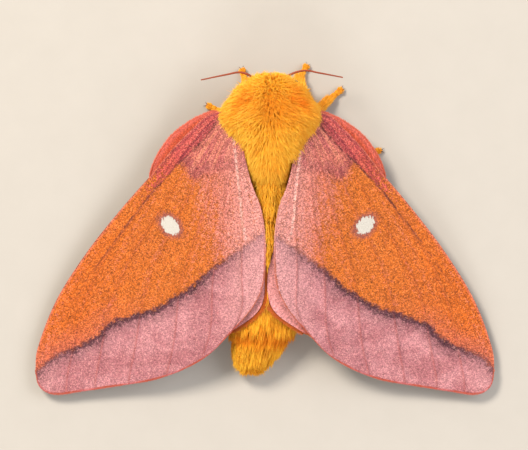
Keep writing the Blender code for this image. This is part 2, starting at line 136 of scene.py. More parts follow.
# Body forms out to the tips of the coat: (back, half width, half height, up, shift to the left)
THORAX = (
    (-13.2, 0.0, 0.0, 5.9, -0.3), (-12.95, 1.35, 1.2, 5.9, -0.3), (-12.45, 2.2, 1.95, 5.87, -0.3),
    (-12.0, 2.95, 2.45, 5.85, -0.3), (-11.1, 3.65, 3.1, 5.8, -0.25), (-10.1, 4.3, 3.6, 5.75, -0.22),
    (-9.2, 4.35, 3.7, 5.7, -0.2),
    (-8.3, 3.75, 3.65, 5.6, -0.2), (-7.6, 3.2, 3.5, 5.55, -0.2), (-6.5, 2.75, 3.3, 5.4, -0.25),
    (-5.3, 2.4, 3.0, 5.2, -0.3), (-4.3, 1.8, 2.4, 5.0, -0.2), (-3.6, 1.0, 1.4, 4.9, -0.2),
    (-3.25, 0.0, 0.0, 4.9, -0.2),
)
ABDOMEN = (
    (-5.0, 0.0, 0.0, 4.6, -0.2), (-4.4, 2.1, 1.8, 4.6, -0.2), (-2.5, 2.7, 2.3, 4.35, -0.2),
    (0.0, 3.05, 2.55, 3.9, -0.1), (3.0, 3.1, 2.6, 3.45, 0.05), (6.0, 3.1, 2.55, 2.95, 0.2),
    (8.5, 3.0, 2.45, 2.5, 0.4), (9.6, 2.85, 2.35, 2.35, 0.55), (10.6, 2.45, 2.05, 2.1, 0.9),
    (11.7, 1.85, 1.6, 1.8, 1.3), (12.5, 1.4, 1.2, 1.6, 1.42), (13.0, 0.8, 0.75, 1.5, 1.45),
    (13.25, 0.0, 0.0, 1.45, 1.45),
)
HEAD = (
    (-13.35, 0.0, 0.0, 3.9, -0.3), (-13.1, 1.2, 1.1, 3.9, -0.3), (-12.4, 2.15, 1.85, 3.95, -0.3),
    (-11.5, 2.5, 2.15, 4.0, -0.3), (-10.6, 2.2, 1.9, 4.1, -0.3), (-10.0, 1.3, 1.2, 4.2, -0.3),
    (-9.8, 0.0, 0.0, 4.2, -0.3),
)
THORAX_DEPTH = 0.95 * MM  # how deep the skin lies below the coat's tips
ABDOMEN_DEPTH = 0.8 * MM
HEAD_DEPTH = 0.5 * MM

ANTENNAE = {
    "left": (
        (1.1, -12.1, 5.0), (1.4, -12.95, 5.3), (2.4, -13.35, 5.3), (3.7, -13.15, 4.9), (5.86, -12.73, 4.0),
    ),
    "right": (
        (1.1, -12.1, 5.0), (1.6, -12.95, 5.3), (3.1, -13.5, 5.3), (4.6, -13.3, 4.9), (6.6, -12.95, 4.0),
    ),
}
LEGS = {
    "foreleg_left": ((1.3, -9.8, 3.0), (2.9, -10.6, 2.0), (1.9, -12.35, 0.8), (2.3, -13.88, 0.33)),
    "foreleg_right": ((1.3, -9.8, 3.0), (3.2, -10.9, 2.1), (2.8, -12.9, 0.8), (3.5, -14.2, 0.33)),
    "midleg_left": ((1.6, -8.5, 2.8), (3.7, -8.2, 2.4), (3.5, -9.7, 0.85), (5.45, -10.65, 0.33)),
    "midleg_right": ((1.6, -8.5, 2.8), (3.3, -9.1, 2.6), (5.2, -10.9, 0.9), (6.65, -12.1, 0.33)),
    "hindleg_left": ((1.4, -7.2, 2.8), (4.1, -5.8, 2.9), (6.3, -5.2, 0.85), (8.7, -5.3, 0.33)),
    "hindleg_right": ((1.4, -7.2, 2.8), (4.3, -6.2, 2.9), (7.4, -6.4, 0.85), (10.15, -6.6, 0.33)),
}


# Geometry helpers


def place(out, back, up, side=1):
    """(side * out + midline, back + middle, up): moth coordinates to the frame, in metres."""
    return np.stack([side * out + MIDLINE_X, back + MIDDLE_Y, up + 0.0 * out], axis=-1)


def smooth_line(points, count):
    """Catmull-Rom curve through the points, read at even steps of its length."""
    points = np.asarray(points, float)
    padded = np.vstack([2 * points[0] - points[1], points, 2 * points[-1] - points[-2]])
    share = np.linspace(0, 1, 24, endpoint=False)[:, None]
    runs = []
    for a, b, c, d in zip(padded, padded[1:], padded[2:], padded[3:]):
        square, cube = 2 * a - 5 * b + 4 * c - d, 3 * b - a - 3 * c + d
        runs.append(0.5 * (2 * b + (c - a) * share + square * share**2 + cube * share**3))
    line = np.vstack([*runs, points[-1:]])
    travelled = np.append(0, np.cumsum(np.linalg.norm(np.diff(line, axis=0), axis=1)))
    steps = np.linspace(0, travelled[-1], count)
    return np.column_stack([np.interp(steps, travelled, column) for column in line.T])


def ease(low, high, value):
    """0 below low, 1 above high, and 3 s^2 - 2 s^3 between."""
    share = np.clip((value - low) / (high - low), 0, 1)
    return share * share * (3 - 2 * share)


def signed_distance(out, back, line):
    """Distance in millimetres to a smooth line through (out, back), positive to the right of its run."""
    knots = smooth_line(np.array(line), 160)
    out, back = out / MM, back / MM
    best = np.full(out.shape, 1e9)
    signed = np.zeros(out.shape)
    for a, b in zip(knots, knots[1:]):
        run = b - a
        share = np.clip(((out - a[0]) * run[0] + (back - a[1]) * run[1]) / (run @ run), 0, 1)
        dx, dy = out - a[0] - share * run[0], back - a[1] - share * run[1]
        distance = np.hypot(dx, dy)
        closer = distance < best
        best = np.where(closer, distance, best)
        signed = np.where(closer, distance * np.sign(run[0] * dy - run[1] * dx), signed)
    return signed


def inside_outline(out, back, outline):
    """Whether (out, back) lies in the closed outline, by counting the edges crossed."""
    corners = np.vstack([smooth_line(np.array(part), 40) for part in outline]) * MM
    inside = np.zeros(out.shape, bool)
    for a, b in zip(corners, np.roll(corners, -1, axis=0)):
        crosses = (a[1] > back) != (b[1] > back)
        if crosses.any():
            inside ^= crosses & (out < a[0] + (b[0] - a[0]) * (back - a[1]) / (b[1] - a[1] + 1e-12))
    return inside


def roof_height(out, back):
    """z = foot + rise * exp(-(hypot(out, r) - r) / fall) + bulge: the forewing's middle layer."""
    run = np.hypot(out, ROOF_ROUND) - ROOF_ROUND
    rise = ROOF_RISE * (1 - ROOF_SINK * np.maximum(back - ROOF_SINK_FROM, 0) / MM)
    swell = np.hypot(out - BULGE_OUT, back - BULGE_BACK) / BULGE_SPREAD
    return ROOF_FOOT + rise * np.exp(-run / ROOF_FALL) + BULGE * np.exp(-(swell**2))


def new_mesh(name, points, faces, material, attributes=None, smooth=True):
    """A mesh object from arrays of points and of faces with one count of corners, with point attributes."""
    points = np.asarray(points, np.float32).reshape(-1, 3)
    faces = np.asarray(faces, np.int32)
    data = bpy.data.meshes.new(name)
    data.vertices.add(len(points))
    data.vertices.foreach_set("co", points.ravel())
    data.loops.add(faces.size)
    data.loops.foreach_set("vertex_index", faces.ravel())
    data.polygons.add(len(faces))
    data.polygons.foreach_set("loop_start", np.arange(0, faces.size, faces.shape[1], dtype=np.int32))
    data.polygons.foreach_set("use_smooth", np.full(len(faces), smooth))
    for key, values in (attributes or {}).items():
        layer = data.attributes.new(key, "FLOAT", "POINT")
        layer.data.foreach_set("value", np.asarray(values, np.float32).ravel())
    data.update(calc_edges=True)
    data.validate()
    made = bpy.data.objects.new(name, data)
    bpy.context.scene.collection.objects.link(made)
    data.materials.append(material)
    return made


def grid_faces(rows, columns, closed=False, start=0, flip=False):
    """Quads between the neighbours of a grid of points, joined round its columns when closed."""
    i, j = np.meshgrid(np.arange(rows - 1), np.arange(columns if closed else columns - 1), indexing="ij")
    k = (j + 1) % columns
    here, below = i * columns, (i + 1) * columns
    quads = np.stack([here + j, here + k, below + k, below + j], axis=-1).reshape(-1, 4) + start
    return quads[:, ::-1] if flip else quads


# Materials


# Kinds of node that recur, with their settings
PLUS = ("Math", {"operation": "ADD"})
MINUS = ("Math", {"operation": "SUBTRACT"})
TIMES = ("Math", {"operation": "MULTIPLY"})
LARGER = ("Math", {"operation": "MAXIMUM"})
SIZE = ("Math", {"operation": "ABSOLUTE"})
EASED = ("MapRange", {"interpolation_type": "SMOOTHSTEP"})  # value, low, high, and what these two become
BLEND = ("Mix", {"data_type": "RGBA"})  # factor, and the colours at 0 and at 1
TINT = ("Mix", {"data_type": "RGBA", "blend_type": "MULTIPLY"})


def colour(code):
    """Hex sRGB to linear red, green, blue and alpha."""
    parts = [int(code[i : i + 2], 16) / 255 for i in (1, 3, 5)]
    return (*[c / 12.92 if c <= 0.04045 else ((c + 0.055) / 1.055) ** 2.4 for c in parts], 1.0)


def add(tree, kind, *values, out=None, **settings):
    """Adds one node with its settings. The values go to its open inputs in order: a socket is linked, a hex
    colour is turned to linear, and a number is set. It returns the output named, or the first open one."""
    if isinstance(kind, tuple):
        kind, settings = kind
    node = tree.nodes.new("ShaderNode" + kind)
    for key, value in settings.items():
        setattr(node, key, value)
    for socket, value in zip((socket for socket in node.inputs if socket.enabled), values):
        if isinstance(value, bpy.types.NodeSocket):
            tree.links.new(value, socket)
        elif value is not None:
            socket.default_value = colour(value) if isinstance(value, str) else value
    return node.outputs[out] if out else next(socket for socket in node.outputs if socket.enabled)


def grain(tree, size_mm, detail=2.0, stretch=None):
    """Noise whose blobs are about size_mm across."""
    where = add(tree, "TexCoord", out="Object")
    if stretch:
        where = add(tree, "Mapping", where, None, None, stretch)
    return add(tree, "TexNoise", where, 1000.0 / size_mm, detail, 0.6)


def scales(tree, size_mm):
    """A random number for each wing scale, size_mm across, and the distance from its middle."""
    distance = add(tree, "TexVoronoi", add(tree, "TexCoord", out="Object"), 1000.0 / size_mm)
    return add(tree, "SeparateColor", distance.node.outputs["Color"]), distance


def new_material(name, marks=()):
    """An empty material with its Principled shader and the mesh's own attributes that it reads."""
    made = bpy.data.materials.new(name)
    made.use_nodes = True
    tree = made.node_tree
    at = {mark: add(tree, "Attribute", attribute_name=mark, out="Fac") for mark in marks}
    return made, tree, tree.nodes["Principled BSDF"], at


def coats(tree, base, *layers):
    """The base colour under further colours, each laid on by its own share."""
    for share, tone in layers:
        base = add(tree, BLEND, share, base, tone)
    return base


def bump(tree, shader, height, strength, distance_mm):
    """Relief of this height in the shader's normal."""
    normal = add(tree, "Bump", strength, distance_mm * MM)
    tree.links.new(height, normal.node.inputs["Height"])
    tree.links.new(normal, shader.inputs["Normal"])


def forewing_material():
    """Pigmented scales of a moth's wing, laid like tiles on a clear membrane: powdery and matt, with single
    scales as light and dark specks. Orange, rose by the body and beyond the dark line, with a cream spot."""
    made, tree, shader, at = new_material("forewing_scales", (
        "outward", "pale", "rays", "rose", "dark_line", "line_depth", "base_line", "arc_depth", "front",
        "costa", "groove", "groove_depth", "vein", "vein_depth", "pale_vein", "spot", "margin", "outer",
    ))
    speck, speck_distance = scales(tree, SPECK)
    patchy, _ = scales(tree, SCALE)
    cloud, fine = grain(tree, 2.2, 3.0), grain(tree, 0.25, 3.0)
    ragged = add(tree, TIMES, add(tree, MINUS, grain(tree, 0.4, 4.0), 0.5), 1.1)
    frayed = add(tree, TIMES, ragged, 0.3)
    mixed = add(tree, TIMES, add(tree, MINUS, patchy, 0.5), 0.6)
    uneven = add(tree, PLUS, ragged, mixed)
    cloudy = add(tree, EASED, cloud, 0.35, 0.7)
    streaky = add(tree, EASED, at["rays"], -0.5, 0.5)

    # Grounds: orange, rose towards the body, and the paler band beyond the dark line
    orange = add(tree, BLEND, at["outward"], "#C2641E", "#C65E12")
    orange = add(tree, BLEND, add(tree, EASED, cloud, 0.35, 0.7, 0.0, 0.35), orange, "#AE5622")
    # Rose, lighter by the inner edge: partly its own paler rose, partly painted highlight where the raised
    # ridge faces the light
    rose = coats(tree, add(tree, BLEND, cloudy, "#BE6A5A", "#CA7666"), (at["pale"], "#D2908A"))
    rose_share = add(tree, PLUS, at["rose"], add(tree, TIMES, ragged, 0.6))
    rose_share = add(tree, PLUS, rose_share, add(tree, TIMES, at["rays"], 0.25))
    inner = add(tree, BLEND, add(tree, EASED, add(tree, PLUS, rose_share, mixed), 0.05, 1.05), orange, rose)
    # Band, mottled: its lighter cloudy patches are partly painted sheen, and by the inner edge partly painted
    # highlight
    band = coats(tree, add(tree, BLEND, cloudy, "#AC6A6F", "#C6868A"), (at["pale"], "#CE9292"))
    line = add(tree, PLUS, at["dark_line"], ragged)
    beyond = add(tree, EASED, line, -0.1, 0.2)
    dusted = add(tree, TIMES, add(tree, EASED, line, -2.6, 0.0), at["outward"])
    inner = add(tree, BLEND, add(tree, TIMES, dusted, 0.5), inner, "#B8605A")

    # The dark line, the base patch with its arc, and the front strip with its groove
    core, halo = add(tree, EASED, line, 0.62, 0.2), add(tree, EASED, line, 1.7, 0.1, 0.0, 0.58)
    shade = add(tree, TIMES, add(tree, EASED, line, -0.4, 0.0), add(tree, LARGER, core, halo))
    patch = add(tree, PLUS, at["base_line"], uneven)
    fibres = add(tree, BLEND, streaky, "#A04450", "#CE7A62")
    fibres = add(tree, BLEND, add(tree, EASED, cloud, 0.35, 0.65, 0.3, 0.85), rose, fibres)
    arc = add(tree, TIMES, add(tree, EASED, patch, 0.6, 0.1), add(tree, EASED, patch, -0.9, -0.1))
    front = add(tree, PLUS, at["front"], uneven)
    groove = add(tree, EASED, add(tree, SIZE, add(tree, PLUS, at["groove"], frayed)), 0.17, 0.0)
    groove = add(tree, TIMES, groove, at["groove_depth"])
    groove = add(tree, TIMES, groove, add(tree, EASED, grain(tree, 0.9, 4.0), 0.36, 0.54, 0.15, 1.0))
    streak = add(tree, EASED, add(tree, PLUS, at["pale_vein"], frayed), 0.2, 0.0)
    base = coats(
        tree, add(tree, BLEND, beyond, inner, band),
        (add(tree, TIMES, shade, at["line_depth"]), "#4E2834"),
        (add(tree, EASED, patch, 0.7, -0.8, 0.0, 0.85), fibres),
        (add(tree, TIMES, arc, at["arc_depth"]), "#84384A"),
        (add(tree, EASED, front, 0.3, 0.8, 0.0, 0.85), add(tree, BLEND, streaky, "#90303A", "#BE4A48")),
        (add(tree, EASED, at["costa"], 0.42, 0.12, 0.0, 0.6), "#D2705A"),
        (groove, "#5A2628"),
        (add(tree, TIMES, add(tree, EASED, at["vein"], 0.12, 0.02), at["vein_depth"]), "#A2453A"),
        (add(tree, TIMES, streak, add(tree, EASED, fine, 0.35, 0.6, 0.0, 0.6)), "#ECC4B8"),
    )

    # Dark and light specks, fainter on the band, then the spot with its torn rim, and the margin
    flecks = add(tree, PLUS, add(tree, TIMES, speck, 0.78), add(tree, TIMES, patchy, 0.22))
    strong = add(tree, EASED, line, 0.3, 1.0, 1.32, 0.94)
    flecks = add(tree, PLUS, 0.92, add(tree, TIMES, add(tree, MINUS, flecks, 0.5), strong))
    rosy = add(tree, EASED, add(tree, PLUS, rose_share, beyond), 0.2, 0.8)
    torn = add(tree, TIMES, add(tree, MINUS, grain(tree, 0.16, 2.0, (1.0, 0.5, 1.0)), 0.5), 0.9)
    ring = add(tree, PLUS, at["spot"], add(tree, PLUS, frayed, torn))
    edge = add(tree, EASED, add(tree, PLUS, at["margin"], frayed), 0.25, 0.0)
    base = coats(
        tree, add(tree, TINT, 1.0, base, flecks),
        (add(tree, EASED, speck, 0.8, 1.0, 0.0, 0.22), add(tree, BLEND, rosy, "#E8A468", "#ECBCA6")),
        (add(tree, EASED, ring, 1.75, 0.95, 0.0, 0.62), "#74444E"),
        (add(tree, EASED, ring, 1.0, 0.86), "#C4BFB5"),
        (add(tree, TIMES, edge, at["outer"]), "#B04642"),
    )
    tree.links.new(base, shader.inputs["Base Color"])
    shader.inputs["Roughness"].default_value = 0.7
    shader.inputs["Specular IOR Level"].default_value = 0.25
    shader.inputs["Sheen Weight"].default_value = 0.15
    shader.inputs["Sheen Roughness"].default_value = 0.4
    shader.inputs["Sheen Tint"].default_value = colour("#FFD9C8")
    relief = add(tree, PLUS, add(tree, TIMES, speck_distance, -0.9), add(tree, TIMES, fine, 0.8))
    bump(tree, shader, relief, 0.8, 0.06)
    return made


def hindwing_material():
    """Longer, hair-like scales on the same membrane: matt salmon red, with fine streaks that run outwards,
    and paler along the inner edge, partly their own paler pink and partly painted light that lifts the
    forewing's shadow there."""
    made, tree, shader, at = new_material("hindwing_scales", ("margin_front", "inner", "vein", "margin"))
    cell, cell_distance = scales(tree, SCALE)
    speck, _ = scales(tree, SPECK)
    streak = grain(tree, 0.35, 3.0, (2.2, 0.45, 1.0))
    base = coats(
        tree, add(tree, BLEND, add(tree, EASED, streak, 0.25, 0.75), "#B8442F", "#D4603F"),
        (add(tree, EASED, at["margin_front"], 0.9, 0.0, 0.0, 0.5), "#D4706A"),
        # Paler inner part: partly the hindwing's own pink, partly painted light lifting the forewing's shadow
        (at["inner"], "#D8908E"),
    )
    flecks = add(tree, PLUS, add(tree, TIMES, speck, 0.6), add(tree, TIMES, cell, 0.4))
    base = coats(
        tree, add(tree, TINT, 1.0, base, add(tree, PLUS, 0.45, add(tree, TIMES, flecks, 0.95))),
        (add(tree, EASED, at["vein"], 0.16, 0.03, 0.0, 0.5), "#B04A3C"),
        (add(tree, EASED, at["margin"], 0.35, 0.05, 0.0, 0.6), "#E0704A"),
    )
    tree.links.new(base, shader.inputs["Base Color"])
    shader.inputs["Roughness"].default_value = 0.75
    shader.inputs["Specular IOR Level"].default_value = 0.2
    shader.inputs["Sheen Weight"].default_value = 0.3
    shader.inputs["Sheen Tint"].default_value = colour("#FFCDBE")
    bump(tree, shader, add(tree, PLUS, cell_distance, streak), 0.5, 0.05)
    return made


def fur_material(name, root, middle, tip, shaded="#EE8410", contrast=0.45):
    """Hair scales, grown in tufts: soft and dry with a warm sheen, darker at the root, partly as painted
    shade deep in the coat, and lighter to the tip, each strand a little different."""
    made, tree, shader, at = new_material(name, ("along", "tone", "shade"))
    # The root colour, at the base of each strand and on the darker strands, is partly painted shade deep in
    # the coat
    base = coats(
        tree, add(tree, BLEND, add(tree, EASED, at["along"], 0.0, 0.55), root, middle),
        (add(tree, EASED, at["along"], 0.45, 1.0), tip),
        (add(tree, EASED, at["tone"], 0.55, 1.0, 0.0, contrast), root),
        (add(tree, EASED, at["tone"], 0.4, 0.0, 0.0, 0.35), tip),
        (add(tree, EASED, grain(tree, 1.4, 2.0), 0.45, 0.7, 0.0, 0.35), root),
        (at["shade"], shaded),
    )
    tree.links.new(base, shader.inputs["Base Color"])
    shader.inputs["Roughness"].default_value = 0.65
    shader.inputs["Specular IOR Level"].default_value = 0.22
    shader.inputs["Sheen Weight"].default_value = 0.38
    shader.inputs["Sheen Tint"].default_value = colour("#FFB040")
    return made


def skin_material(name, dark, light, size_mm):
    """Chitin skin dusted with short scales: dull, mottled and slightly rough."""
    made, tree, shader, _ = new_material(name)
    mottled = grain(tree, size_mm, 4.0)
    base = add(tree, BLEND, add(tree, EASED, mottled, 0.3, 0.7), dark, light)
    tree.links.new(base, shader.inputs["Base Color"])
    shader.inputs["Roughness"].default_value = 0.85
    bump(tree, shader, mottled, 0.7, 0.06)
    return made


def horn_material(name, dark, light, rough):
    """Bare hardened chitin, as of feelers and claws: smooth, with a satin shine."""
    made, tree, shader, _ = new_material(name)
    tree.links.new(add(tree, BLEND, grain(tree, 0.5, 3.0), dark, light), shader.inputs["Base Color"])
    shader.inputs["Roughness"].default_value = rough
    bump(tree, shader, grain(tree, 0.08, 2.0), 0.3, 0.01)
    return made


def eye_material():
    """Clear lenses of chitin over dark pigment: a black eye, whose wet gloss breaks on its facets."""
    made, tree, shader, _ = new_material("eye_facets")
    _, facet = scales(tree, FACET)
    base = add(tree, BLEND, add(tree, EASED, facet, 0.2, 0.6), "#1E120C", "#060404")
    tree.links.new(base, shader.inputs["Base Color"])
    shader.inputs["Roughness"].default_value = 0.28
    shader.inputs["Coat Weight"].default_value = 0.25
    bump(tree, shader, facet, 0.35, 0.012)
    return made


# Wings


def wing_sheet(outline, reach, veins, rows, columns):
    """The wing's patch between costa, margin, inner edge and root, blended as a Coons surface:
    P(u, v) = (1-v) costa(u) + v inner(u) + (1-u) root(v) + u margin(v) - corners."""
    costa, outer, inner = outline
    front, rear = smooth_line(np.array(costa) * MM, rows), smooth_line(np.array(inner) * MM, rows)
    edge = smooth_line(np.array(outer) * MM, columns)
    u, v = np.linspace(0, 1, rows)[:, None, None], np.linspace(0, 1, columns)[None, :, None]
    root = (1 - v) * front[0] + v * rear[0]
    corners = (1 - u) * root + u * ((1 - v) * front[-1] + v * rear[-1])
    flat = (1 - v) * front[:, None] + v * rear[:, None] + (1 - u) * root + u * edge[None] - corners
    chord = np.linalg.norm(front - rear, axis=1)[:, None]
    nearest, tip = np.array(reach) * MM
    drawn_nearest, drawn_tip = min(inner)[0] * MM, max(costa)[0] * MM
    out = nearest + (flat[..., 0] - drawn_nearest) * (tip - nearest) / (drawn_tip - drawn_nearest)
    bent = v[..., 0] - 0.085 * ease(0.55, 1.0, u[..., 0])
    vein = np.min([np.abs(bent - share) * chord for share in veins], axis=0) / MM
    u, v = u[..., 0] + 0 * vein, v[..., 0] + 0 * vein
    return out, flat[..., 1], u, v, vein


def wing(name, side, outline, reach, veins, drop, rows, columns, material, marks):
    """A thin closed wing about the solid's middle layer, thicker at its root, with its veins raised."""
    out, back, u, v, vein = wing_sheet(outline, reach, veins, rows, columns)
    margin = (1 - u) * WING_LENGTH
    rim = np.clip(np.minimum.reduce([1 - u, v * 0.6, (1 - v) * 0.6]) / 0.02, 0, 1)
    half = 0.5 * (SHEET_AT_ROOT + (SHEET_AT_EDGE - SHEET_AT_ROOT) * u) * np.sqrt(0.08 + 0.92 * rim)
    marks = marks(out, back, u, v)
    calm = ease(0.9, 1.8, marks["spot"]) if "spot" in marks else 1.0
    ridge = VEIN_HEIGHT * np.exp(-((vein / 0.13) ** 2)) * np.clip(u / 0.35, 0, 1) * rim * calm
    ripple = RIPPLE * np.sin(v * 34 + 5 * u) * ease(0.2, 1.0, u)
    curl = CURL * ease(0.75, 1.0, v) * ease(0.3, 0.6, u) if drop else 0.0
    middle = roof_height(out, back) - drop + ripple + curl
    top = place(out, back, middle + half + ridge, side)
    under = place(out, back, middle - half + 0.5 * ridge, side)
    count = rows * columns
    index = np.arange(count).reshape(rows, columns)
    loop = np.concatenate([index[0, :-1], index[:-1, -1], index[-1, :0:-1], index[:0:-1, 0]])
    wall = np.stack([loop, np.roll(loop, -1), np.roll(loop, -1) + count, loop + count], axis=-1)
    flip = side > 0
    faces = np.vstack([
        grid_faces(rows, columns, flip=not flip),
        grid_faces(rows, columns, start=count, flip=flip),
        wall[:, ::-1] if not flip else wall,
    ])
    attributes = {"vein": vein, "margin": margin, **marks}
    attributes = {key: np.concatenate([value.ravel(), value.ravel()]) for key, value in attributes.items()}
    points = np.concatenate([top.reshape(-1, 3), under.reshape(-1, 3)])
    return new_mesh(name, points, faces, material, attributes)


def forewing_marks(out, back, u, v):
    """How far each point lies from the forewing's markings, in millimetres or as a share."""
    dark = signed_distance(out, back, DARK_LINE)
    base = signed_distance(out, back, BASE_LINE)
    rose = signed_distance(out, back, ROSE_LINE)
    groove = signed_distance(out, back, GROOVE_LINE)
    pale, thin = (np.abs(signed_distance(out, back, line)) for line in (PALE_VEIN, THIN_VEIN))
    x, y = out / MM - SPOT[0], back / MM - SPOT[1]
    long, short = (y - x) / math.sqrt(2), (x + y) / math.sqrt(2)
    rays = sum(np.sin(v * f + 5 * np.sin(u * g + p) + p) for f, g, p in RAYS) / len(RAYS)
    return {
        "dark_line": dark,
        "line_depth": 0.45 + 0.5 * ease(2.0, 7.0, out / MM) - 0.32 * ease(15.5, 19.5, out / MM),
        "base_line": -base,
        "rose": ease(-2.6, 2.8, rose),
        "outward": ease(9.0, 19.0, out / MM),
        "groove": groove,
        "groove_depth": 0.9 * ease(19.5, 10.0, out / MM),
        "vein_depth": 0.15 + 0.25 * ease(0.0, 1.0, dark),
        "pale_vein": np.minimum(pale, thin + 0.13),
        "costa": v * FOREWING_CHORD,
        "outer": 0.55 * ease(3.0, 8.0, out / MM),
        "arc_depth": 0.3 + 0.3 * ease(4.5, 6.5, out / MM),
        "rays": rays,
        "front": ease(0.25, -0.25, groove) * ease(12.5, 8.0, out / MM),
        # Lighter by the inner edge, partly the wing's own paler rose and partly painted highlight where the
        # ridge faces the light; lighter at the apex
        "pale": 0.75 * ease(5.0, 1.2, out / MM) + 0.3 * ease(17.0, 19.5, out / MM),
        "spot": np.hypot(long / 1.0, short / 0.67),
    }


def hindwing_marks(out, back, u, v):
    """Share of the paler inner part of the hindwing, partly painted light that lifts the forewing's shadow,
    and the distance from its front edge.
    """
    return {"inner": ease(4.5, 2.0, out / MM), "margin_front": v * HINDWING_CHORD}


# Body, fur, feelers and legs


def form_sections(stations):
    """The body form's sections, read finely along it."""
    return smooth_line(np.array(stations) * MM, 120)


def form_point(sections, back, angle, lift, measured):
    """A point round the oval of the section at measured, carried on to back and lifted along its normal."""
    wide, high, up, shift = (np.interp(measured, sections[:, 0], column) for column in sections.T[1:])
    wide, high = np.maximum(wide, 0.4 * MM), np.maximum(high, 0.4 * MM)
    outward = np.stack([np.cos(angle) * high, 0.0 * back, np.sin(angle) * wide], axis=-1)
    outward /= np.linalg.norm(outward, axis=-1, keepdims=True)
    surface = place(shift + wide * np.cos(angle), back, up + high * np.sin(angle))
    lift = np.maximum(lift, -0.85 * np.minimum(wide, high))
    return surface + outward * lift[..., None]


def clear_wings(points, margin=0.1 * MM):
    """Moves hair up off the forewing where it is rooted above it, and down below the hindwing elsewhere."""
    side = np.sign(points[..., 0] - MIDLINE_X)
    side[side == 0] = 1
    out, back = side * (points[..., 0] - MIDLINE_X), points[..., 1] - MIDDLE_Y
    roof = roof_height(out, back)
    above = (points[..., 0, 2] > roof[..., 0] - 0.15 * MM)[..., None]
    over_fore = inside_outline(out, back, FOREWING)
    over_hind = inside_outline(out, back, HINDWING)
    ceiling = np.where(over_hind, roof - WING_STACK - 0.2 * MM, roof - 0.25 * MM)
    raised = np.maximum(points[..., 2], roof + SHEET_AT_ROOT / 2 + margin)
    lowered = np.minimum(points[..., 2], ceiling - margin)
    z = np.where(over_fore | over_hind, np.where(above, raised, lowered), points[..., 2])
    moved = points.copy()
    moved[..., 2] = np.maximum(z, LOWEST)
    return moved


def strand_faces(rings):
    """Triangles of one three-sided strand: its root closed, its sides, and its point, where three corners
    meet but keep the shading of their own sides."""
    quads = grid_faces(rings - 1, 3, closed=True)
    last, tip = 3 * (rings - 2), 3 * (rings - 1)
    point = [(last + turn, last + (turn + 1) % 3, tip + turn) for turn in range(3)]
    return np.concatenate([[(0, 2, 1)], quads[:, :3], quads[:, [0, 2, 3]], point])


def strands(name, paths, width, material, uv, tone, shade, group=10500):
    """Three-sided closed strands that taper to a point along paths of shape (strands, rings, 3), in pieces
    under 200,000 triangles. Each has its patch, 0.003 across, at its root's place in the bake map."""
    pieces = []
    for start in range(0, len(paths), group):
        part = slice(start, start + group)
        line, size = paths[part], width[part]
        count, rings = line.shape[:2]
        corners = 3 * rings
        along = np.linspace(0, 1, rings)
        run = np.gradient(line, axis=1)
        run /= np.maximum(np.linalg.norm(run, axis=2, keepdims=True), 1e-12)
        aside = np.cross(run, np.array([0.31, 0.22, 0.92]))
        aside /= np.maximum(np.linalg.norm(aside, axis=2, keepdims=True), 1e-12)
        third = np.cross(run, aside)
        radius = 0.5 * size[:, None] * np.where(along < 1, np.sqrt(1.02 - along**1.6), 0.0)
        turns = (np.arange(3) * TURN / 3)[:, None]
        ring = aside[:, :, None] * np.cos(turns) + third[:, :, None] * np.sin(turns)
        points = line[:, :, None] + ring * radius[:, :, None, None]
        faces = (strand_faces(rings)[None] + (np.arange(count) * corners)[:, None, None]).reshape(-1, 3)
        ring_number, turn = np.arange(corners) // 3, np.arange(corners) % 3
        attributes = {
            "along": np.tile(along[ring_number], count),
            "tone": np.repeat(tone[part], corners),
            "shade": np.repeat(shade[part], corners),
        }
        piece = new_mesh(f"{name}_{start // group + 1}", points, faces, material, attributes)
        layer = piece.data.uv_layers.new(name="OFBake")
        corner = np.empty(len(piece.data.loops), np.int32)
        piece.data.loops.foreach_get("vertex_index", corner)
        strand, corner = corner // corners, corner % corners
        local = np.stack([turn[corner] / 3, ring_number[corner] / (rings - 1)], axis=-1) * 0.003
        layer.data.foreach_set("uv", (uv[part][strand] * 0.99 + local).astype(np.float32).ravel())
        pieces.append(piece)
    return pieces


